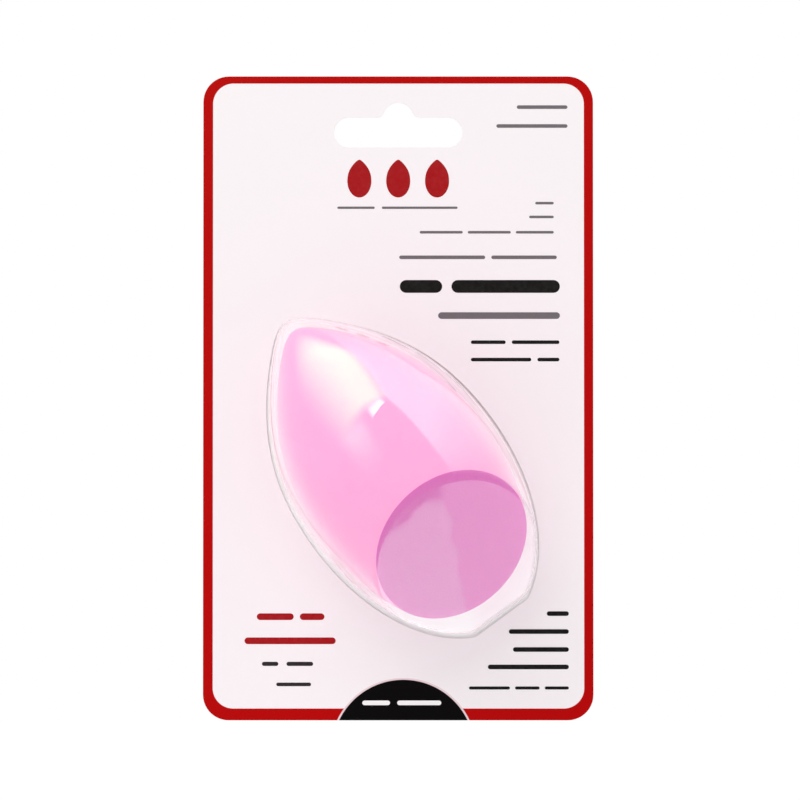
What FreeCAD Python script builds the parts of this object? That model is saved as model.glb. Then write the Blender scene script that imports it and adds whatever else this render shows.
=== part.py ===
import FreeCAD
import Part
import math
import os

# A foam makeup sponge in its hang pack: two glued cards, with a clear thermoformed blister
# trapped between them and the sponge inside. Millimetres and degrees. +X is to the viewer's
# right, +Z is up and the viewer looks along +Y. The origin is the crown of the hang slot's
# arch, on the back face of the pack, which is where a peg carries it.

Vector = FreeCAD.Vector
os.makedirs("parts", exist_ok=True)

# Cards
card_width = 76.2
card_height = 125.8
card_corner = 5.0
front_board = 0.6
back_board = 0.5

# Hang slot: a long slot for a flat hook, with an arch that finds the middle of a round peg
slot_below_top = 5.1
slot_length = 25.1
slot_height = 5.9
arch_rise = 2.9
arch_radius = 3.0
arch_blend = 1.4

# Sponge: an egg on an axis that lies parallel to the cards, widest at its own origin
sponge_radius = 19.0
sponge_nose = 36.6
sponge_tail = 30.2
cut_start = 1.4
cut_slope = 46.0

# How far the outlines draw in from an ellipse towards the tip
nose_pinch_share = 0.46
pinch_power = 3.2

# Where the sponge's widest section lies on the card, and how far its axis leans
axis_right = 1.1
axis_above_bottom = 46.6
axis_lean = 36.2
back_gap = 0.3

# Blister: one clear sheet formed round the sponge, with room on every side
sheet = 0.3
side_room = 1.0
nose_room = 1.0
tail_room = 2.2
end_room = 0.7
facet_room = 1.8
draft_run = 0.7
form_radius = 1.2
flange_width = 4.5
pocket_gap = 0.15

# Window: die cut a little larger than the dome, and sitting a little low of it
window_gap = 0.55
window_left = 0.1
window_down = 0.45

# Steps of an outline's curve, and how many more it runs past its ends
curve_steps = 14
run_past = 2

# Cone bands that make up the soft sponge's skin, so that it has few facets
sponge_bands = 24

# How far a cutter stands past what it cuts
overrun = 1.0

axis_height = back_gap + sponge_radius


def egg_point(turn, radius, nose, tail, level):
    """A point of an egg's outline: half an ellipse each way from the widest place, pinched in to the tip."""
    along = math.cos(math.radians(turn))
    reach, pinch = (nose, nose_pinch_share) if along > 0 else (tail, 0)
    width = radius * math.sin(math.radians(turn)) * (1 - pinch * abs(along) ** pinch_power)
    return Vector(-reach * along, width, level)


def half_curve(radius, nose, tail, end, level):
    """One side of an egg's outline, from its tip to its end, at a level in front of the back card.

    The curve is drawn past both ends and trimmed there, so it crosses the axis square."""
    last = 90 + math.degrees(math.asin(min(end / tail, 1)))
    turns = [last * step / curve_steps for step in range(-run_past, curve_steps + run_past + 1)]
    points = [egg_point(turn, radius, nose, tail, level) for turn in turns]
    curve = Part.BSplineCurve()
    curve.interpolate(Points=points)
    curve.segment(curve.parameter(points[run_past]), curve.parameter(points[-1 - run_past]))
    return curve.toShape()


def egg_wire(half):
    """The closed outline made of one side and its mirror image, with a flat end if it has one."""
    end = half.Vertexes[-1].Point
    edges = [half, half.mirror(Vector(), Vector(0, 1, 0))]
    if end.y > half.Vertexes[-1].Tolerance:
        edges.append(Part.makeLine(end, Vector(end.x, -end.y, end.z)))
    return Part.Wire(Part.__sortEdges__(edges))


def egg_solid(half, turn):
    """The egg that one side sweeps when it turns about the sponge's axis."""
    tip, end = half.Vertexes[0].Point, half.Vertexes[-1].Point
    foot = Vector(end.x, 0, end.z)
    edges = [half, Part.makeLine(foot, tip)]
    if end.y > half.Vertexes[-1].Tolerance:
        edges.append(Part.makeLine(end, foot))
    face = Part.Face(Part.Wire(Part.__sortEdges__(edges)))
    return face.revolve(Vector(0, 0, axis_height), Vector(1, 0, 0), turn)


def egg_plate(grow, thickness):
    """A flat teardrop plate that follows the dome at a distance, with a round base."""
    tail = sponge_tail + tail_room + grow
    half = half_curve(sponge_radius + side_room + grow, sponge_nose + nose_room + grow, tail, tail, 0)
    return Part.Face(egg_wire(half)).extrude(Vector(0, 0, thickness))


def above_cut(room):
    """Everything beyond the sponge's cut plane, moved out by a room."""
    span = 4 * (sponge_nose + sponge_tail)
    block = Part.makeBox(span, span, span, Vector(-span / 2, -span / 2, room))
    block.rotate(Vector(), Vector(0, 1, 0), cut_slope)
    block.translate(Vector(cut_start, 0, axis_height + sponge_radius))
    return block


def on_card(shape):
    """Takes a shape from the sponge's own axes to its place on the card."""
    lean = math.radians(axis_lean)
    along = Vector(math.sin(lean), 0, -math.cos(lean))
    side = Vector(math.cos(lean), 0, math.sin(lean))
    front = Vector(0, -1, 0)
    place = Vector(axis_right, -back_board, slot_below_top - card_height + axis_above_bottom)
    rows = []
    for axis in ("x", "y", "z"):
        rows += [getattr(vector, axis) for vector in (along, side, front, place)]
    placed = shape.copy()
    placed.Placement = FreeCAD.Placement(FreeCAD.Matrix(*rows, 0, 0, 0, 1))
    return placed


def dome_curve(grow, level):
    """One side of the dome's outline, grown outwards from the sponge's room, with its flat end."""
    return half_curve(
        sponge_radius + side_room + grow,
        sponge_nose + nose_room + grow,
        sponge_tail + tail_room + grow,
        sponge_tail + end_room + grow,
        level,
    )


def dome_block(skin, foot):
    """The dome as a full block, from its foot up: drafted wall, egg top and the facet over the cut."""
    top = dome_curve(skin, axis_height)
    low = dome_curve(skin + draft_run * (1 - foot / axis_height), foot)
    wall = Part.makeLoft([egg_wire(low), egg_wire(top)], True, True)
    block = wall.fuse(egg_solid(top, 180)).removeSplitter()
    block = block.cut(above_cut(facet_room + skin))
    slope = math.radians(cut_slope)
    facing = Vector(math.sin(slope), 0, math.cos(slope))
    facet = max(block.Faces, key=lambda face: face.normalAt(0, 0).dot(facing) * face.Surface.isPlanar())
    return block.makeFillet(form_radius - sheet + skin, facet.Edges)


def make_sponge():
    """The foam egg, turned from an outline of short straights, with its slanted flat cut."""
    turns = [180 * band / sponge_bands for band in range(sponge_bands + 1)]
    outline = [egg_point(turn, sponge_radius, sponge_nose, sponge_tail, axis_height) for turn in turns]
    half = Part.Face(Part.makePolygon(outline + outline[:1]))
    egg = half.revolve(Vector(0, 0, axis_height), Vector(1, 0, 0), 360)
    return on_card(egg.cut(above_cut(0)))


def make_blister():
    """The clear sheet: what lies between the dome's outer and inner blocks, with its flange."""
    flange = egg_plate(sheet + draft_run + flange_width, sheet)
    shell = dome_block(sheet, 0).fuse(flange).cut(dome_block(0, -overrun))
    return on_card(shell.removeSplitter())


def card_blank(near, far):
    """A card's board from one depth to another, with its round corners."""
    half, low, high = card_width / 2, slot_below_top - card_height, slot_below_top
    in_x, in_low, in_high = half - card_corner, low + card_corner, high - card_corner
    bow = card_corner * math.sqrt(0.5)

    def at(x, z):
        return Vector(x, near, z)

    edges = [
        Part.makeLine(at(-in_x, low), at(in_x, low)),
        Part.Arc(at(in_x, low), at(in_x + bow, in_low - bow), at(half, in_low)).toShape(),
        Part.makeLine(at(half, in_low), at(half, in_high)),
        Part.Arc(at(half, in_high), at(in_x + bow, in_high + bow), at(in_x, high)).toShape(),
        Part.makeLine(at(in_x, high), at(-in_x, high)),
        Part.Arc(at(-in_x, high), at(-in_x - bow, in_high + bow), at(-half, in_high)).toShape(),
        Part.makeLine(at(-half, in_high), at(-half, in_low)),
        Part.Arc(at(-half, in_low), at(-in_x - bow, in_low - bow), at(-in_x, low)).toShape(),
    ]
    return Part.Face(Part.Wire(edges)).extrude(Vector(0, far - near, 0))


def hang_slot():
    """The slot as a cutter through both cards: half round ends, and an arch set on blend arcs."""
    near = -back_board - front_board - overrun
    end, floor, middle = (slot_length - slot_height) / 2, -arch_rise - slot_height, -arch_rise - slot_height / 2
    across = math.sqrt((arch_radius + arch_blend) ** 2 - (arch_radius + arch_blend - arch_rise) ** 2)
    lean = math.atan2(across, arch_radius + arch_blend - arch_rise)
    join_out, join_up = arch_radius * math.sin(lean), arch_radius * math.cos(lean) - arch_radius
    mid_out, mid_up = across - arch_blend * math.sin(lean / 2), arch_blend * (1 - math.cos(lean / 2)) - arch_rise

    def at(x, z):
        return Vector(x, near, z)

    edges = [
        Part.makeLine(at(-end, floor), at(end, floor)),
        Part.Arc(at(end, floor), at(slot_length / 2, middle), at(end, -arch_rise)).toShape(),
        Part.makeLine(at(end, -arch_rise), at(across, -arch_rise)),
        Part.Arc(at(across, -arch_rise), at(mid_out, mid_up), at(join_out, join_up)).toShape(),
        Part.Arc(at(join_out, join_up), at(0, 0), at(-join_out, join_up)).toShape(),
        Part.Arc(at(-join_out, join_up), at(-mid_out, mid_up), at(-across, -arch_rise)).toShape(),
        Part.makeLine(at(-across, -arch_rise), at(-end, -arch_rise)),
        Part.Arc(at(-end, -arch_rise), at(-slot_length / 2, middle), at(-end, floor)).toShape(),
    ]
    return Part.Face(Part.Wire(edges)).extrude(Vector(0, overrun - near, 0))


def make_front_card():
    """The printed card: its window shows a little of the flange, which lies in a pocket behind."""
    window = Part.Face(egg_wire(dome_curve(sheet + draft_run + window_gap, -overrun)))
    window = on_card(window.extrude(Vector(0, 0, front_board + 2 * overrun)))
    window.translate(Vector(-window_left, 0, -window_down))
    pocket = on_card(egg_plate(sheet + draft_run + flange_width + pocket_gap, sheet))
    blank = card_blank(-back_board - front_board, -back_board)
    return blank.cut(hang_slot()).cut(window).cut(pocket)


def make_back_card():
    return card_blank(-back_board, 0).cut(hang_slot())


nodes = {
    "front_card": make_front_card(),
    "back_card": make_back_card(),
    "blister": make_blister(),
    "sponge": make_sponge(),
}

for name, shape in nodes.items():
    solid = shape.Solids[0] if len(shape.Solids) == 1 else shape
    solid.exportStep("parts/" + name + ".step")
    print(name, len(shape.Solids), "solid", shape.isValid(), round(shape.Volume, 1), "mm3")
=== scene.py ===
import math
import bpy
import bmesh
import numpy as np
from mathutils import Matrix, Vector


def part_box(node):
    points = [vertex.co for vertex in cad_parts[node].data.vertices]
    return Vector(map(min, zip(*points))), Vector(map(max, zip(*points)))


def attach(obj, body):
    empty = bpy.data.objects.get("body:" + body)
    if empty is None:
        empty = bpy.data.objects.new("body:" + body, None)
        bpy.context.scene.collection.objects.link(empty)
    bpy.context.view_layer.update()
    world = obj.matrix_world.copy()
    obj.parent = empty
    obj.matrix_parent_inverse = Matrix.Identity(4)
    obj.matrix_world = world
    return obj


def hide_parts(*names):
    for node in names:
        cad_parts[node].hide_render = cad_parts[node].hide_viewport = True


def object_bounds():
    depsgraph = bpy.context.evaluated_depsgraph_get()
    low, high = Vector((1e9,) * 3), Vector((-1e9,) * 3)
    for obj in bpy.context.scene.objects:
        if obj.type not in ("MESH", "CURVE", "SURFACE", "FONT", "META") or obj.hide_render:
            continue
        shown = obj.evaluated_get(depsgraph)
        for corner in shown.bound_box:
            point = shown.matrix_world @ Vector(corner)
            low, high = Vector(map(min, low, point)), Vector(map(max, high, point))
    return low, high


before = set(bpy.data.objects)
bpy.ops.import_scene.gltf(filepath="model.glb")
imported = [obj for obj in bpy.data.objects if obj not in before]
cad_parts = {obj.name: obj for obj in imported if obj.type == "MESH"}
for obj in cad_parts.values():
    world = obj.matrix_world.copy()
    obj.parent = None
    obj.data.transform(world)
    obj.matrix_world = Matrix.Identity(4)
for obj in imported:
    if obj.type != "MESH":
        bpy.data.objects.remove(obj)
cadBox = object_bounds()
mm = 0.001

# The egg's axes on the card: where its widest section lies, how far its axis leans, how deep it lies
eggPlace = {"right": 1.1 * mm, "down": 74.1 * mm, "lean": 36.2, "backBoard": 0.5 * mm, "backGap": 0.3 * mm}

# The sponge: its own radius, its reach to the tip and to the base, and its slanted cut. The soft foam
# lies a little short of the tip, and its cut stands a little out and rolled.
sponge = {"radius": 19.0 * mm, "nose": 36.6 * mm, "tail": 30.2 * mm, "cutStart": 1.4 * mm, "cutSlope": 46.0,
          "nosePinch": 0.46, "pinchPower": 3.2, "tipBack": 1.0 * mm, "cutOut": 0.45 * mm, "cutRoll": 4.0}

# How high the egg's axis lies over the back card, and where the front card's printed face lies
axisHeight = eggPlace["backGap"] + sponge["radius"]
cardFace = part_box("front_card")[0][1]


# Turns directions from the egg's axes (along it, across it, towards the viewer) to the frame's axes:
# the first two turn by the lean in the card's plane, and the third is the frame's -Y
def turned(points):
    lean = math.radians(eggPlace["lean"])
    along, across, up = points[..., 0], points[..., 1], points[..., 2]
    x = along * math.sin(lean) + across * math.cos(lean)
    z = across * math.sin(lean) - along * math.cos(lean)
    return np.stack([x, -up, z], axis=-1)


# Takes points from the egg's axes to their place on the card
def onCard(points):
    return turned(points) + np.array([eggPlace["right"], -eggPlace["backBoard"], -eggPlace["down"]])


# Run and width of an egg: half an ellipse each way from its widest place at a turn from its tip,
# and the half with the tip is pinched in by the cosine of the turn to a power
def eggOutline(turn, radius, nose, tail):
    along = np.cos(turn)
    reach = np.where(along > 0, nose, tail)
    pinch = np.where(along > 0, sponge["nosePinch"], 0.0)
    width = radius * np.sin(turn) * (1 - pinch * np.abs(along) ** sponge["pinchPower"])
    return -reach * along, width


# The four-sided faces between the rows and columns of a grid, whose points are counted from a start
def gridFaces(rows, cols, start=0):
    index = np.arange(rows * cols).reshape(rows, cols) + start
    quads = np.stack([index[:-1, :-1], index[1:, :-1], index[1:, 1:], index[:-1, 1:]], axis=-1)
    return quads.reshape(-1, 4).tolist()


# One mesh from grids of points, which share the points where they meet
def surfaceMesh(name, grids, sharp=35.0):
    points, faces, start = [], [], 0
    for grid in grids:
        rows, cols = grid.shape[:2]
        points.append(grid.reshape(-1, 3))
        faces += gridFaces(rows, cols, start)
        start += rows * cols
    return finishMesh(name, np.concatenate(points), faces, sharp)


# A smooth mesh from points and faces: doubles merged, faces turned outwards, and edges that turn more
# than the limit in degrees kept crisp
def finishMesh(name, points, faces, sharp=35.0, merge=0.001 * mm):
    mesh = bpy.data.meshes.new(name)
    mesh.from_pydata(points.tolist(), [], faces)
    build = bmesh.new()
    build.from_mesh(mesh)
    bmesh.ops.remove_doubles(build, verts=build.verts, dist=merge)
    bmesh.ops.dissolve_degenerate(build, edges=build.edges, dist=merge)
    bmesh.ops.recalc_face_normals(build, faces=build.faces)
    for face in build.faces:
        face.smooth = True
    for edge in build.edges:
        edge.smooth = edge.calc_face_angle(0.0) < math.radians(sharp)
    build.to_mesh(mesh)
    build.free()
    return addPiece(name, mesh)


# Puts a mesh, a lamp's or a camera's data into the scene
def addPiece(name, data):
    piece = bpy.data.objects.new(name, data)
    bpy.context.scene.collection.objects.link(piece)
    return piece


# A number on a wire: the usual signs add the Math nodes that work it out
class Wire:
    def __init__(self, net, socket):
        self.net, self.socket = net, socket

    def math(self, operation, *others):
        values = dict(enumerate((self,) + others))
        return self.net.add("ShaderNodeMath", {"operation": operation}, values)

    def __add__(self, other):
        return self.math("ADD", other)

    def __sub__(self, other):
        return self.math("SUBTRACT", other)

    def __rsub__(self, other):
        return self.net.add("ShaderNodeMath", {"operation": "SUBTRACT"}, {0: other, 1: self})

    def __mul__(self, other):
        return self.math("MULTIPLY", other)

    def __pow__(self, other):
        return self.math("POWER", other)

    __radd__, __rmul__ = __add__, __mul__

    def size(self):
        return self.math("ABSOLUTE")

    def root(self):
        return self.math("SQRT")

    def atLeast(self, other):
        return self.math("MAXIMUM", other)

    def atMost(self, other):
        return self.math("MINIMUM", other)

    # 1 where this number is under zero, 0 where it is over, with a soft edge of a width
    def inside(self, soft):
        return (self * (-1 / soft) + 0.5).atLeast(0.0).atMost(1.0)


# The nodes of one material, or of the world
class Net:
    def __init__(self, owner):
        owner.use_nodes = True
        self.owner, self.tree = owner, owner.node_tree
        self.tree.nodes.clear()

    # Any node: its type, its settings, and the values or wires of its sockets; gives its output
    def add(self, kind, settings=None, values=None, output=0):
        node = self.tree.nodes.new(kind)
        for key, value in (settings or {}).items():
            setattr(node, key, value)
        for key, value in (values or {}).items():
            if isinstance(value, Wire):
                self.tree.links.new(value.socket, node.inputs[key])
            else:
                node.inputs[key].default_value = value
        return Wire(self, node.outputs[output]) if node.outputs else None

    def place(self):
        return self.add("ShaderNodeTexCoord", output="Object")

    # The three numbers of the place on the surface, in millimetres
    def axes(self):
        split = self.add("ShaderNodeSeparateXYZ", values={0: self.place()}).socket.node
        return [Wire(self, output) * (1 / mm) for output in split.outputs]

    def noise(self, scale, detail=2.0, roughness=0.5):
        values = {"Vector": self.place(), "Scale": scale, "Detail": detail, "Roughness": roughness}
        return self.add("ShaderNodeTexNoise", values=values)

    def mixColour(self, amount, first, second):
        return self.add("ShaderNodeMix", {"data_type": "RGBA"}, {0: amount, 6: first, 7: second}, output=2)

    def bump(self, height, strength, distance):
        return self.add("ShaderNodeBump",
                        values={"Strength": strength, "Distance": distance, "Height": height})

    def principled(self, values):
        return self.add("ShaderNodeBsdfPrincipled", values=values)

    # 1 for rays of the kinds named, 0 for the rest
    def rays(self, *kinds):
        found = [self.add("ShaderNodeLightPath", output="Is " + kind + " Ray") for kind in kinds]
        total = found[0]
        for wire in found[1:]:
            total = total.atLeast(wire)
        return total

    # Climbs from 0 to 1 as a number goes from one value to another
    def climb(self, number, low, high):
        return ((number - low) * (1 / (high - low))).atLeast(0.0).atMost(1.0)

    def mixShader(self, amount, first, second):
        return self.add("ShaderNodeMixShader", values={0: amount, 1: first, 2: second})

    def done(self, shader, output="ShaderNodeOutputMaterial"):
        self.add(output, values={"Surface": shader})
        return self.owner


def newNet(name):
    return Net(bpy.data.materials.new(name))


# A screen colour of 0 to 255 as the shader's linear one
def srgb(red, green, blue):
    channel = np.array([red, green, blue]) / 255.0
    linear = np.where(channel <= 0.04045, channel / 12.92, ((channel + 0.055) / 1.055) ** 2.4)
    return (*[float(value) for value in linear], 1.0)


def dress(piece, material):
    piece.data.materials.clear()
    piece.data.materials.append(material)


# The camera: square on, a little below the card's own axis
camera = {"aim": (0.35 * mm, -58.2 * mm), "distance": 0.65, "left": 0.0, "below": 0.8,
          "spanAtCard": 156.3 * mm, "sensor": 36.0}


def placeCamera():
    yaw, pitch = math.radians(camera["left"]), math.radians(camera["below"])
    back = np.array([-math.sin(yaw) * math.cos(pitch), -math.cos(yaw) * math.cos(pitch), -math.sin(pitch)])
    aim = np.array([camera["aim"][0], cardFace, camera["aim"][1]])
    data = bpy.data.cameras.new("camera")
    data.sensor_width = camera["sensor"]
    data.lens = camera["sensor"] * camera["distance"] / camera["spanAtCard"]
    view = addPiece("camera", data)
    view.location = aim + back * camera["distance"]
    view.rotation_euler = Vector(-back).to_track_quat("-Z", "Y").to_euler()
    bpy.context.scene.camera = view


placeCamera()
print("camera placed")


# The printed card: a pale panel inside a red border, and a black half disc at the bottom
card = {"leftBorder": 1.9, "rightBorder": 1.8, "topBorder": 1.4, "bottomBorder": 2.3, "panelCorner": 4.0,
        "discRadius": 13.9, "discTop": 7.9, "discRight": 1.0, "discRim": 0.35, "edge": 0.05, "skin": 0.03,
        "panel": srgb(250, 245, 247), "red": srgb(183, 3, 5), "black": srgb(5, 3, 4),
        "rim": srgb(236, 214, 218), "board": srgb(250, 249, 248), "fibre": srgb(214, 208, 200),
        "fibreScale": 260.0, "fibreShare": 0.2, "speckScale": 900.0, "speckShare": 0.06, "speckRelief": 0.6,
        "bareRoughness": 0.75, "printRoughness": 0.42, "specular": 0.04,
        "bumpStrength": 0.1, "bumpHeight": 0.04 * mm}


def printedBoard():
    net = newNet("printedBoard")
    x, y, z = net.axes()
    low, high = [np.array(corner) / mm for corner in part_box("front_card")]
    panelLow = np.array([low[0] + card["leftBorder"], low[2] + card["bottomBorder"]])
    panelHigh = np.array([high[0] - card["rightBorder"], high[2] - card["topBorder"]])
    middle, half = (panelLow + panelHigh) / 2, (panelHigh - panelLow) / 2 - card["panelCorner"]
    # Distance to the panel's rounded outline: past the corner centres, as the crow flies
    outX = ((x - float(middle[0])).size() - float(half[0])).atLeast(0.0)
    outZ = ((z - float(middle[1])).size() - float(half[1])).atLeast(0.0)
    panel = ((outX * outX + outZ * outZ).root() - card["panelCorner"]).inside(card["edge"])
    discX = x - card["discRight"]
    discZ = z - float(low[2] + card["discTop"] - card["discRadius"])
    discFar = (discX * discX + discZ * discZ).root() - card["discRadius"]
    disc = discFar.inside(card["edge"])
    rim = (discFar - card["discRim"]).inside(card["edge"])
    speck = net.noise(card["speckScale"], 3.0)
    colour = net.mixColour(panel, card["red"], card["panel"])
    colour = net.mixColour(rim, colour, card["rim"])
    colour = net.mixColour(disc, colour, card["black"])
    # Only the front skin is printed: the cut edges and the back are bare board
    front = (y - float(low[1] + card["skin"])).inside(card["skin"])
    colour = net.mixColour(front, card["board"], colour)
    fibre = net.noise(card["fibreScale"], 5.0, 0.6)
    bare = (fibre - 0.5).atLeast(0.0) * card["fibreShare"] * (1 - front)
    colour = net.mixColour(bare, colour, card["fibre"])
    smoother = card["bareRoughness"] - card["printRoughness"]
    rough = card["bareRoughness"] - front * smoother + (speck - 0.5) * card["speckShare"]
    normal = net.bump(speck * card["speckRelief"] + fibre, card["bumpStrength"], card["bumpHeight"])
    return net.done(net.principled({"Base Color": colour, "Roughness": rough, "Normal": normal,
                                    "Specular IOR Level": card["specular"]}))


# The plain board of the back card: white, with fibres and slow clouds
plainLook = {"white": srgb(252, 254, 254), "fibre": srgb(232, 229, 227),
             "fibreScale": 420.0, "fibreFrom": 0.3, "fibreShare": 0.8,
             "cloudScale": 45.0, "cloudFrom": 0.4, "cloudShare": 0.5,
             "roughness": 0.7, "roughSpread": 0.2, "specular": 0.35,
             "bumpStrength": 0.35, "bumpHeight": 0.08 * mm}


def plainBoard():
    net = newNet("plainBoard")
    fibre = net.noise(plainLook["fibreScale"], 6.0, 0.65)
    cloud = net.noise(plainLook["cloudScale"], 2.0)
    fibrous = (fibre - plainLook["fibreFrom"]) * plainLook["fibreShare"]
    cloudy = (cloud - plainLook["cloudFrom"]) * plainLook["cloudShare"]
    patchy = (fibrous + cloudy).atLeast(0.0)
    colour = net.mixColour(patchy, plainLook["white"], plainLook["fibre"])
    rough = plainLook["roughness"] + (fibre - 0.5) * plainLook["roughSpread"]
    normal = net.bump(fibre, plainLook["bumpStrength"], plainLook["bumpHeight"])
    return net.done(net.principled({"Base Color": colour, "Roughness": rough, "Normal": normal,
                                    "Specular IOR Level": plainLook["specular"]}))


dress(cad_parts["front_card"], printedBoard())
dress(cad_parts["back_card"], plainBoard())
print("cards dressed")


# The sponge's own mesh: rings from the tip to the slanted cut and how they crowd towards it, points
# round each, rings that shrink to the cut's middle, and how far and how slowly the skin wavers
spongeMesh = {"rings": 150, "crowd": 0.9, "meridians": 240, "cutRings": 46, "nearTurn": 0.3, "halvings": 40,
              "swell": 0.035 * mm, "wave": 14 * mm, "waves": 7, "seed": 4}


# The cut plane moved out by a room and rolled about the egg's axis: the way it faces, and how far
# points lie beyond it
def cutFacing(roll=0.0):
    slope, turn = math.radians(sponge["cutSlope"]), math.radians(roll)
    return np.array([math.sin(slope), math.cos(slope) * math.sin(turn), math.cos(slope) * math.cos(turn)])


def beyondCut(points, room=0.0, roll=0.0):
    reach = np.array([sponge["cutStart"], 0.0, sponge["radius"]]) @ cutFacing()
    return (points - np.array([0.0, 0.0, axisHeight])) @ cutFacing(roll) - reach - room


# A point of the sponge's skin at a turn from its tip and a roll round its axis
def spongeSkin(turn, roll):
    run, width = eggOutline(turn, sponge["radius"], sponge["nose"] - sponge["tipBack"], sponge["tail"])
    return np.stack([run, width * np.cos(roll), axisHeight + width * np.sin(roll)], axis=-1)


# Soft unevenness: the sum of a few slow waves in seeded directions, about one unit high
def slowWaves(points, seed, wave, count):
    source = np.random.default_rng(seed)
    directions = source.normal(size=(count, 3))
    phases = source.uniform(0, 2 * math.pi, count)
    lengths = wave * source.uniform(0.6, 1.6, count)
    total = np.zeros(points.shape[:-1])
    for direction, phase, length in zip(directions, phases, lengths):
        unit = direction / np.linalg.norm(direction)
        total += np.sin(points @ unit * (2 * math.pi / length) + phase)
    return total / math.sqrt(count)


# Meridians from the tip to where each meets the cut plane, and the cut as copies of its rim that shrink
# in a straight line to its middle
def makeSponge():
    roll = np.linspace(0, 2 * math.pi, spongeMesh["meridians"] + 1)
    near, far = np.full_like(roll, spongeMesh["nearTurn"]), np.full_like(roll, math.pi)
    # Where each meridian meets the cut, by halving the turn between a near and a far one
    for _ in range(spongeMesh["halvings"]):
        half = (near + far) / 2
        past = beyondCut(spongeSkin(half, roll), sponge["cutOut"], sponge["cutRoll"]) > 0
        near, far = np.where(past, near, half), np.where(past, half, far)
    share = np.linspace(0, 1, spongeMesh["rings"])[:, None] ** spongeMesh["crowd"]
    skin = spongeSkin(share * near[None, :], np.broadcast_to(roll, (spongeMesh["rings"], roll.size)))
    # The skin wavers a little, least at its edge and its tip
    middle = np.array([0, 0, axisHeight])
    outward = skin - middle
    outward /= np.linalg.norm(outward, axis=-1, keepdims=True)
    fade = np.sin(share * math.pi)[..., None]
    swell = slowWaves(skin, spongeMesh["seed"], spongeMesh["wave"], spongeMesh["waves"])
    swell = swell * spongeMesh["swell"]
    skin = skin + outward * swell[..., None] * fade
    skin[:, -1] = skin[:, 0]
    rim = skin[-1]
    centre = rim[:-1].mean(axis=0)
    shrink = np.linspace(1, 0, spongeMesh["cutRings"])[:, None, None]
    cut = centre + (rim - centre) * shrink
    piece = surfaceMesh("foamSponge", [onCard(skin), onCard(cut)], sharp=40.0)
    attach(piece, "foam_sponge")
    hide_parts("sponge")
    return piece


# Foam: a moulded skin with fine closed cells, and a cut face where the cells lie open
# The cut face's colours are darker partly for its open cells and partly with painted shade, as the cut faces
# away from the light; the pores carry painted shade, deeper on the cut
foamLook = {"skin": srgb(251, 169, 217), "skinDeep": srgb(249, 162, 211), "poreShade": srgb(236, 116, 186),
            "cut": srgb(222, 89, 190), "cutDeep": srgb(215, 81, 182), "cutSkin": 0.06,
            "cellScale": 3200.0, "fineScale": 5200.0, "cloudScale": 70.0, "poreScale": 1500.0,
            "poreFrom": 0.42, "poreShadeShare": 1.2, "openShadeShare": 1.6,
            "fineRelief": 0.5, "poreRelief": 0.5, "openRelief": 0.7,
            "bumpStrength": 0.3, "bumpHeight": 0.1 * mm,
            "roughness": 0.85, "roughSpread": 0.1, "specular": 0.2, "sheen": 0.2, "sheenRoughness": 0.5,
            "scatter": 0.25, "scatterReach": (0.004, 0.002, 0.003), "scatterScale": 0.5}


def foam():
    net = newNet("foam")
    x, y, z = net.axes()
    cells = net.add("ShaderNodeTexVoronoi", {"feature": "SMOOTH_F1"},
                    {"Vector": net.place(), "Scale": foamLook["cellScale"]})
    fine = net.noise(foamLook["fineScale"], 2.0)
    cloud = net.noise(foamLook["cloudScale"], 3.0)
    pores = net.noise(foamLook["poreScale"], 2.0, 0.7)
    # Depth under the cut plane, from its direction on the card and its reach from the egg's middle
    facing = turned(cutFacing(sponge["cutRoll"]))
    middle = np.array([0.0, 0.0, axisHeight])
    reach = float(facing @ onCard(middle) - beyondCut(middle, sponge["cutOut"], sponge["cutRoll"])) / mm
    depth = reach - (x * float(facing[0]) + y * float(facing[1]) + z * float(facing[2]))
    cut = (depth - foamLook["cutSkin"]).inside(foamLook["cutSkin"])
    skin = net.mixColour(cloud, foamLook["skin"], foamLook["skinDeep"])
    # The cut's colours: open cells, and painted shade where the cut faces away from the light
    openCellsShaded = net.mixColour(cloud, foamLook["cut"], foamLook["cutDeep"])
    colour = net.mixColour(cut, skin, openCellsShaded)
    # Painted shade in the pores, deeper where the cells lie open on the cut
    shadedPores = (foamLook["poreFrom"] - pores).atLeast(0.0) * (foamLook["poreShadeShare"] + cut * foamLook["openShadeShare"])
    colour = net.mixColour(shadedPores, colour, foamLook["poreShade"])
    rough = foamLook["roughness"] + (fine - 0.5) * foamLook["roughSpread"]
    pitted = pores * (foamLook["poreRelief"] + cut * foamLook["openRelief"])
    relief = cells + fine * foamLook["fineRelief"] + pitted
    normal = net.bump(relief, foamLook["bumpStrength"], foamLook["bumpHeight"])
    return net.done(net.principled({"Base Color": colour, "Roughness": rough, "Normal": normal,
                                    "Specular IOR Level": foamLook["specular"],
                                    "Sheen Weight": foamLook["sheen"],
                                    "Sheen Roughness": foamLook["sheenRoughness"],
                                    "Subsurface Weight": foamLook["scatter"],
                                    "Subsurface Radius": foamLook["scatterReach"],
                                    "Subsurface Scale": foamLook["scatterScale"]}))


spongePiece = makeSponge()
dress(spongePiece, foam())
print("sponge made")


# The blister: its sheet, its rooms round the sponge, the draft of its wall, its flange and the hair's
# breadth that this keeps from the boards on both sides, how soft the facet's edge and the foot are, and
# the steps of its mesh, where the wall's crowd towards the foot
blister = {"sheet": 0.3 * mm, "sideRoom": 1.0 * mm, "noseRoom": 1.0 * mm, "tailRoom": 2.2 * mm,
           "endRoom": 0.7 * mm, "facetRoom": 1.8 * mm, "draftRun": 0.7 * mm, "flange": 4.5 * mm,
           "seat": 0.02 * mm, "soft": 0.5 * mm, "foot": 0.12 * mm,
           "rows": 170, "wallSteps": 26, "wallCrowd": 1.7, "arcSteps": 120, "endSteps": 36, "flangeSteps": 5}


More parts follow.
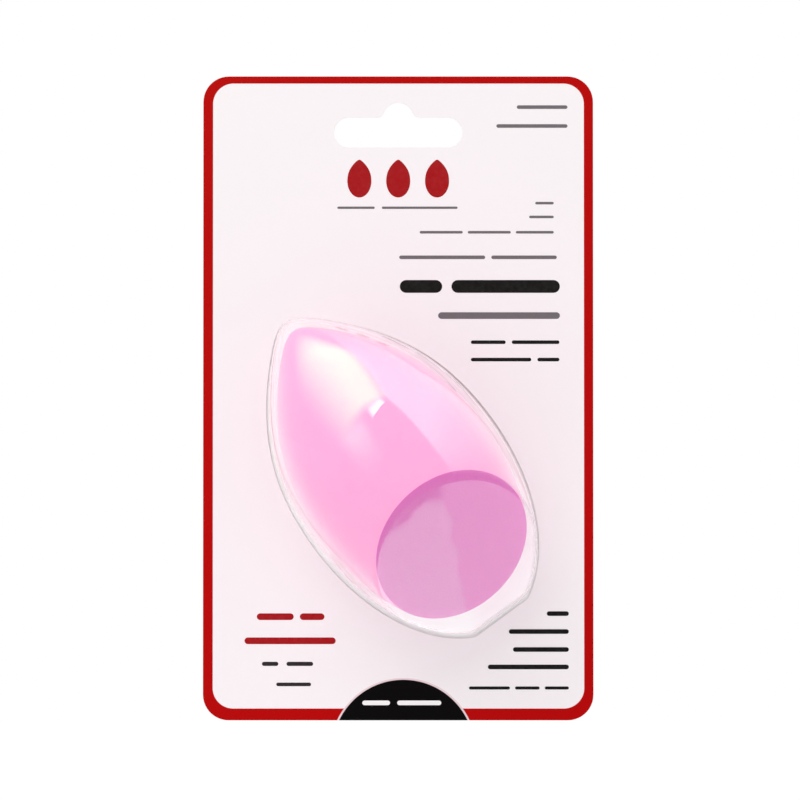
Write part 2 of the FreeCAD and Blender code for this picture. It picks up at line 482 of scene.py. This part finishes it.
# Run and width of the dome's outline grown by a distance; a share of 1 is its flat end
def domeOutline(share, grow):
    tail = sponge["tail"] + blister["tailRoom"] + grow
    end = sponge["tail"] + blister["endRoom"] + grow
    last = math.pi / 2 + np.arcsin(end / tail)
    return eggOutline(share * last, sponge["radius"] + blister["sideRoom"] + grow,
                      sponge["nose"] + blister["noseRoom"] + grow, tail)


# Outward growth of the wall at a height: the draft in a straight line, and a quarter round at the foot
def wallGrow(height, skin, base):
    foot = blister["foot"]
    climb = np.clip((height - base) / foot, 0, 1)
    quarter = foot * (1 - np.sqrt(1 - (1 - climb) ** 2))
    return skin + blister["draftRun"] * (1 - height / axisHeight) + quarter


# Points beyond the facet plane are pressed down onto it, and a parabola rounds the edge
def pressFacet(points, skin):
    beyond = beyondCut(points, blister["facetRoom"] + skin)
    soft = blister["soft"]
    edge = np.where(beyond < -soft, 0, (beyond + soft) ** 2 / (4 * soft))
    down = np.where(beyond > soft, beyond, edge)
    return points - down[..., None] * cutFacing()


# One face of the sheet: up one wall, over the egg's half round and down the other wall, at rows
# from the tip to the flat end; then the flat end, and the flange out to its edge
def sheetFace(skin, base):
    share = np.linspace(0, 1, blister["rows"])[:, None]
    climb = np.linspace(0, 1, blister["wallSteps"]) ** blister["wallCrowd"]
    height = (base + (axisHeight - base) * climb)[None, :]
    run, width = domeOutline(share, wallGrow(height, skin, base))
    wall = np.stack([run, width, np.broadcast_to(height, run.shape)], axis=-1)
    roll = np.linspace(0, math.pi, blister["arcSteps"] + 1)[None, :]
    topRun, topWidth = domeOutline(share, np.full((1, 1), skin))
    over = np.stack([np.broadcast_to(topRun, (share.size, roll.size)), topWidth * np.cos(roll),
                     axisHeight + topWidth * np.sin(roll)], axis=-1)
    across = np.array([1, -1, 1])
    main = np.concatenate([wall, over[:, 1:-1], (wall * across)[:, ::-1]], axis=1)
    # The flat end: lines from one side to the other at each height of the last row
    half = blister["wallSteps"] + blister["arcSteps"] // 2
    side = main[-1, :half]
    sweep = np.linspace(1, -1, blister["endSteps"])[None, :]
    end = np.stack([np.broadcast_to(side[:, :1], (half, sweep.size)), side[:, 1:2] * sweep,
                    np.broadcast_to(side[:, 2:], (half, sweep.size))], axis=-1)
    # The flange: from the foot's outline to the same turn of a round ended egg
    footRow = np.concatenate([main[:, 0], end[0, 1:-1], main[::-1, -1]])
    tail = sponge["tail"] + blister["tailRoom"]
    foot = wallGrow(np.array(base), skin, base)
    last = math.pi / 2 + math.asin((sponge["tail"] + blister["endRoom"] + foot) / (tail + foot))
    turns = np.concatenate([share[:, 0] * last, math.pi - sweep[0, 1:-1] * (math.pi - last),
                            2 * math.pi - share[::-1, 0] * last])
    grow = blister["sheet"] + blister["draftRun"] + blister["flange"]
    outRun, outWidth = eggOutline(turns, sponge["radius"] + blister["sideRoom"] + grow,
                                  sponge["nose"] + blister["noseRoom"] + grow, tail + grow)
    edge = np.stack([outRun, outWidth, np.full_like(outRun, base)], axis=-1)
    spread = np.linspace(0, 1, blister["flangeSteps"])[:, None, None]
    flange = footRow * (1 - spread) + edge * spread
    return [pressFacet(main, skin), pressFacet(end, skin), flange]


# The outer and the inner face of the sheet, and the narrow band that joins them at the flange's edge
def makeBlister():
    outer = sheetFace(blister["sheet"], blister["sheet"] - blister["seat"])
    inner = sheetFace(0.0, blister["seat"])
    rim = np.stack([outer[2][-1], inner[2][-1]])
    grids = [onCard(grid) for grid in outer + inner + [rim]]
    piece = surfaceMesh("clearBlister", grids, sharp=50.0)
    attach(piece, "pack_front")
    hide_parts("blister")
    return piece


# The clear sheet: mostly see-through, with a gloss that grows towards the edges and a milky haze that
# does too. Seen nearly edge on it shades to a mauve grey. Light on its way in or out passes it freely.
clear = {"straight": 0.045, "glossPower": 3.6, "haze": 0.01, "edgeHaze": 0.5, "hazeFrom": 0.3, "hazeTo": 0.72,
         "roughness": 0.03, "waviness": 0.12, "shadeFrom": 0.96, "edgeShade": 0.12, "strayWhite": 0.4,
         "waveScale": 55.0, "waveHeight": 0.6 * mm, "tint": (0.99, 0.99, 0.99, 1.0),
         "mauve": (0.42, 0.34, 0.39, 1.0), "milk": (1.0, 0.98, 0.99, 1.0)}


# The sheet itself, a shade over it where it is seen edge on, and the gloss over both
def clearSheet():
    net = newNet("clearSheet")
    facing = net.add("ShaderNodeLayerWeight", values={"Blend": 0.5}, output="Facing")
    normal = net.bump(net.noise(clear["waveScale"], 2.0), clear["waviness"], clear["waveHeight"])
    through = net.add("ShaderNodeBsdfTransparent", values={"Color": clear["tint"]})
    shade = net.add("ShaderNodeBsdfTransparent", values={"Color": clear["mauve"]})
    matt = net.add("ShaderNodeBsdfDiffuse", values={"Color": clear["milk"]})
    glow = net.add("ShaderNodeBsdfTranslucent", values={"Color": clear["milk"]})
    gloss = net.add("ShaderNodeBsdfAnisotropic", values={"Color": (1.0, 1.0, 1.0, 1.0), "Normal": normal,
                                                         "Roughness": clear["roughness"]})
    seen = 1 - net.rays("Shadow", "Diffuse")
    milky = net.climb(facing, clear["hazeFrom"], clear["hazeTo"])
    haze = clear["haze"] + milky * milky * clear["edgeHaze"]
    edge = net.climb(facing, clear["shadeFrom"], 1.0) * clear["edgeShade"]
    haze = haze * seen + net.rays("Diffuse") * clear["strayWhite"]
    body = net.mixShader(haze, through, net.mixShader(0.5, matt, glow))
    body = net.mixShader(edge * seen, body, shade)
    shine = clear["straight"] + (1 - clear["straight"]) * facing ** clear["glossPower"]
    return net.done(net.mixShader(shine * seen * (1 - edge), body, gloss))


blisterPiece = makeBlister()
dress(blisterPiece, clearSheet())
print("blister made")


# Ink laid on the card as plain bars and small eggs. A bar's place is its left end, right end, middle
# height and thickness, in millimetres in the shared frame.
ink = {"lift": 0.02 * mm, "roundSteps": 10, "grainScale": 1200.0, "grainShare": 0.02, "roughness": 0.42,
       "roughSpread": 0.08, "specular": 0.04}
inkBars = {
    "black": {"colour": srgb(6, 4, 5), "bars": [
        (0.3, 8.6, -36.0, 2.5), (10.4, 31.6, -36.0, 2.5),
        (14.2, 21.0, -46.9, 0.7), (22.2, 31.5, -46.9, 0.7),
        (14.2, 26.0, -50.3, 0.7), (27.2, 31.5, -50.3, 0.7),
        (29.0, 33.3, -99.9, 0.9), (21.6, 33.3, -103.4, 0.9),
        (22.4, 33.3, -106.9, 0.9), (17.5, 33.3, -110.3, 0.9),
        (13.8, 21.8, -114.4, 0.6), (22.8, 27.6, -114.4, 0.6), (28.6, 33.3, -114.4, 0.6)]},
    "grey": {"colour": srgb(112, 106, 110), "bars": [
        (23.2, 33.1, -0.9, 0.7), (19.2, 33.1, -4.6, 0.7),
        (-11.9, -4.6, -20.6, 0.45), (-3.2, 11.6, -20.6, 0.45),
        (26.8, 30.4, -19.7, 0.5), (25.6, 30.4, -22.4, 0.5),
        (4.2, 12.6, -25.4, 0.5), (13.6, 22.0, -25.4, 0.5), (23.0, 30.4, -25.4, 0.5),
        (0.2, 17.0, -30.3, 0.7), (18.2, 31.0, -30.3, 0.7), (7.8, 31.6, -41.7, 1.3)]},
    "red": {"colour": srgb(164, 4, 14), "bars": [
        (-27.6, -20.4, -100.5, 1.3), (-19.2, -14.4, -100.5, 1.3), (-30.0, -12.2, -105.2, 1.3)]},
    "dark": {"colour": srgb(40, 33, 36), "bars": [
        (-26.6, -23.4, -109.7, 0.8), (-21.8, -16.6, -109.7, 0.8), (-23.8, -17.0, -113.7, 0.7)]},
    "white": {"colour": srgb(250, 248, 248), "bars": [
        (-7.0, -1.6, -117.3, 0.9), (-0.2, 8.4, -117.3, 0.9)]},
}


# Outlines of bars with half round ends: the ends are half circles of the bar's thickness
def barOutlines(bars):
    left, right, height, thick = np.array(bars).T[:, :, None] * mm
    steps = ink["roundSteps"]
    turn = np.linspace(-math.pi / 2, math.pi / 2, steps)
    turns = np.concatenate([turn, turn + math.pi])[None, :]
    centre = np.where(np.arange(2 * steps) < steps, right - thick / 2, left + thick / 2)
    x = centre + np.cos(turns) * thick / 2
    z = height + np.sin(turns) * thick / 2
    return x, z


# Each outline becomes a thin slab, half in the card's face and half out: front, back and sides
def inkPiece(name, x, z, material):
    count, corners = x.shape
    face = np.full_like(x, cardFace)
    layers = [np.stack([x, face + lift, z], axis=-1) for lift in (-ink["lift"], ink["lift"])]
    points = np.concatenate(layers).reshape(-1, 3)
    top = np.arange(count * corners).reshape(count, corners)
    under = top + count * corners
    ahead = np.roll(top, -1, axis=1)
    sides = np.stack([top, under, np.roll(under, -1, axis=1), ahead], axis=-1).reshape(-1, 4)
    faces = top.tolist() + under[:, ::-1].tolist() + sides.tolist()
    piece = finishMesh(name, points, faces)
    dress(piece, material)
    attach(piece, "pack_front")


# Even ink with a faint grain of the panel's own colour
def inkMaterial(name, colour):
    net = newNet(name)
    grain = net.noise(ink["grainScale"], 3.0)
    shade = net.mixColour(grain * ink["grainShare"], colour, card["panel"])
    rough = ink["roughness"] + grain * ink["roughSpread"]
    return net.done(net.principled({"Base Color": shade, "Roughness": rough,
                                    "Specular IOR Level": ink["specular"]}))


for inkName, sheet in inkBars.items():
    barX, barZ = barOutlines(sheet["bars"])
    inkPiece("print_" + inkName, barX, barZ, inkMaterial("ink_" + inkName, sheet["colour"]))

# Three small red eggs in a row under the hang slot
eggMark = {"places": (-7.6, 0.0, 7.6), "height": -15.4, "radius": 2.35, "nose": 4.2, "tail": 3.2, "steps": 48}


# Each mark is the egg's outline with its tip up
def makeEggMarks():
    turn = np.linspace(0, 2 * math.pi, eggMark["steps"], endpoint=False)
    run, width = eggOutline(turn, eggMark["radius"] * mm, eggMark["nose"] * mm, eggMark["tail"] * mm)
    places = np.array(eggMark["places"])[:, None] * mm
    x, z = np.broadcast_arrays(places + width, eggMark["height"] * mm - run)
    inkPiece("print_eggs", x, z, inkMaterial("ink_eggs", inkBars["red"]["colour"]))


makeEggMarks()
print("print laid")


# Studio: a white surround for camera and gloss, softer light on the object, and a pale floor far under
# the hanging pack, which glows a little and looks white to camera and gloss
studio = {"surround": 0.75, "surroundTint": (1.0, 0.995, 1.0, 1.0), "white": (1.0, 1.0, 1.0, 1.0),
          "floorDrop": 0.5, "floorSize": 12.0,
          "floor": srgb(240, 238, 238), "floorShade": srgb(233, 231, 231),
          "floorGrain": 30.0, "grainShare": 0.3, "floorRoughness": 0.9, "floorSpecular": 0.1,
          "floorStrength": 1.25, "floorGlow": 0.4, "floorWhite": 0.62}

# Reflector cards, seen by gloss alone: patches of a sphere round the dome. Corners are directions in
# the egg's axes: towards its tip, across it and towards the viewer. The glow fades over a share of the
# card at its first side, second side, front and rear.
reflectors = {
    "cream": {"corners": [(0.37, -0.55, 0.76), (0.49, 0.70, 0.52), (0.77, 0.70, -0.10), (0.90, -0.62, -0.05)],
              "fade": (0.66, 0.28, 0.14, 0.30), "strength": 6.4, "colour": (0.9, 1.0, 0.38, 1.0)},
    "spot": {"corners": [(0.50, 0.20, 0.84), (0.53, 0.58, 0.62), (0.62, 0.56, 0.56), (0.62, 0.20, 0.75)],
             "fade": (0.3, 0.2, 0.0, 0.8), "strength": 8.0, "colour": (1.0, 1.0, 0.7, 1.0)},
    "under": {"corners": [(0.05, -0.55, 0.83), (0.12, 0.05, 0.99), (0.62, 0.20, 0.76), (0.52, -0.60, 0.60)],
              "fade": (0.5, 0.3, 0.8, 0.3), "strength": 3.0, "colour": (0.9, 1.0, 0.7, 1.0)},
    "side": {"corners": [(-0.25, 0.70, 0.66), (-0.30, 0.60, -0.74), (0.88, 0.42, -0.38), (0.55, 0.59, 0.59)],
             "fade": (0.10, 0.7, 0.5, 0.03), "strength": 3.5, "colour": (0.8, 1.0, 0.85, 1.0)},
    "table": {"corners": [(-1.0, -0.40, -0.020), (-1.0, 0.012, -0.020),
                          (-0.96, -0.107, -0.28), (-0.94, -0.40, -0.28)],
              "fade": (0.3, 0.0, 0.0, 0.0), "strength": 2.7, "colour": (0.75, 0.93, 0.85, 1.0)},
    "tableRight": {"corners": [(-1.0, 0.035, 0.03), (-1.0, 0.11, 0.03),
                               (-0.95, 0.25, -0.28), (-0.96, -0.107, -0.28)],
                   "fade": (0.0, 0.6, 0.0, 0.0), "strength": 1.95, "colour": (1.0, 1.0, 1.0, 1.0)},
    "sweep": {"corners": [(-0.94, -0.90, -0.28), (-0.95, 0.25, -0.28),
                          (-0.60, 0.25, -0.80), (-0.60, -0.90, -0.80)],
              "fade": (0.2, 0.2, 0.0, 0.2), "strength": 2.4, "colour": (1.0, 1.0, 1.0, 1.0)},
}
reflectorCard = {"distance": 0.5, "steps": 65}


# Climbs smoothly from 0 to 1 over a soft share, or is 1 all over where there is none
def fadeIn(place, soft):
    climb = np.clip(place / soft, 0, 1) if soft else np.ones_like(place)
    return climb * climb * (3 - 2 * climb)


# Four corner directions blended over the card, brought to one length; the glow is the product of its
# four fading edges
def makeReflector(name, look):
    steps = reflectorCard["steps"]
    across = np.linspace(0, 1, steps)[None, :, None]
    back = np.linspace(0, 1, steps)[:, None, None]
    first, second, third, fourth = [np.array(corner) for corner in look["corners"]]
    front = first * (1 - across) + second * across
    rear = fourth * (1 - across) + third * across
    aim = front * (1 - back) + rear * back
    aim = aim / np.linalg.norm(aim, axis=-1, keepdims=True) * reflectorCard["distance"]
    # Towards the tip is against the axis that runs from tip to base
    grid = onCard(np.array([0, 0, axisHeight]) + aim * np.array([-1, 1, 1]))
    mesh = bpy.data.meshes.new("reflector_" + name)
    mesh.from_pydata(grid.reshape(-1, 3).tolist(), [], gridFaces(steps, steps))
    fades = look["fade"]
    sides = fadeIn(across, fades[0]) * fadeIn(1 - across, fades[1])
    glow = sides * fadeIn(back, fades[2]) * fadeIn(1 - back, fades[3])
    glows = mesh.attributes.new("glow", "FLOAT", "POINT")
    glows.data.foreach_set("value", glow.reshape(-1))
    piece = addPiece("reflector_" + name, mesh)
    net = newNet("reflector_" + name)
    shine = net.add("ShaderNodeAttribute", {"attribute_name": "glow"}, output="Fac")
    bare = net.add("ShaderNodeBsdfTransparent")
    lit = net.add("ShaderNodeEmission", values={"Color": look["colour"], "Strength": look["strength"]})
    dress(piece, net.done(net.mixShader(shine, bare, lit)))
    for ray in ("camera", "diffuse", "transmission", "volume_scatter", "shadow"):
        setattr(piece, "visible_" + ray, False)


# Soft square lamps: where each shines from, its power, size and distance, its tint and the one piece
# that it lights, if it doesn't light them all
lamps = {
    "key": {"from": (-0.36, -0.60, 0.72), "power": 7.2, "size": 1.0, "distance": 1.6,
            "tint": (1.0, 0.985, 0.96), "only": None},
    "rim": {"from": (-0.62, -0.16, -0.78), "power": 0.38, "size": 0.3, "distance": 0.45,
            "tint": (1.0, 1.0, 1.0), "only": blisterPiece},
    "side": {"from": (0.72, -0.30, 0.50), "power": 0.32, "size": 0.3, "distance": 0.45,
             "tint": (1.0, 0.97, 1.0), "only": blisterPiece},
    "gap": {"from": (-0.12, -0.95, -0.25), "power": 2.6, "size": 0.6, "distance": 1.2,
            "tint": (0.96, 1.0, 0.99), "only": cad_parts["back_card"]},
}


# A lamp looks at the back card behind the sponge's widest section, and isn't seen in the gloss
def makeLamp(name, look):
    data = bpy.data.lights.new(name, "AREA")
    data.size, data.energy, data.color = look["size"], look["power"], look["tint"]
    lamp = addPiece(name, data)
    fromLamp = Vector(look["from"]).normalized()
    lamp.location = Vector(onCard(np.zeros(3))) + fromLamp * look["distance"]
    lamp.rotation_euler = fromLamp.to_track_quat("Z", "Y").to_euler()
    lamp.visible_glossy = False
    if look["only"]:
        lit = bpy.data.collections.new(name + "Lit")
        lit.objects.link(look["only"])
        lamp.light_linking.receiver_collection = lit


# A level square, seen from above
def makeFloor():
    half, level = studio["floorSize"] / 2, cadBox[0][2] - studio["floorDrop"]
    corners = np.array([[[-half, -half, level], [half, -half, level]],
                        [[-half, half, level], [half, half, level]]])
    floor = surfaceMesh("floor", [corners])
    net = newNet("paleFloor")
    grain = net.noise(studio["floorGrain"], 3.0) * studio["grainShare"]
    colour = net.mixColour(grain, studio["floor"], studio["floorShade"])
    matt = net.principled({"Base Color": colour, "Roughness": studio["floorRoughness"],
                           "Specular IOR Level": studio["floorSpecular"]})
    glow = net.add("ShaderNodeEmission", values={"Strength": studio["floorStrength"]})
    whiter = studio["floorWhite"] - studio["floorGlow"]
    amount = studio["floorGlow"] + net.rays("Camera", "Glossy", "Transmission") * whiter
    dress(floor, net.done(net.mixShader(amount, matt, glow)))


# The surround is white to the camera and in gloss, and lights the rest at its own level
def makeWorld():
    net = Net(bpy.data.worlds.new("studio"))
    light = net.add("ShaderNodeBackground",
                    values={"Color": studio["surroundTint"], "Strength": studio["surround"]})
    white = net.add("ShaderNodeBackground", values={"Color": studio["white"], "Strength": 1.0})
    seen = net.rays("Camera", "Glossy", "Transmission")
    bpy.context.scene.world = net.done(net.mixShader(seen, light, white), "ShaderNodeOutputWorld")


makeWorld()
for lampName, lampLook in lamps.items():
    makeLamp(lampName, lampLook)
makeFloor()
for reflectorName, reflectorLook in reflectors.items():
    makeReflector(reflectorName, reflectorLook)
bpy.context.scene.view_settings.view_transform = "Standard"
print("studio lit")
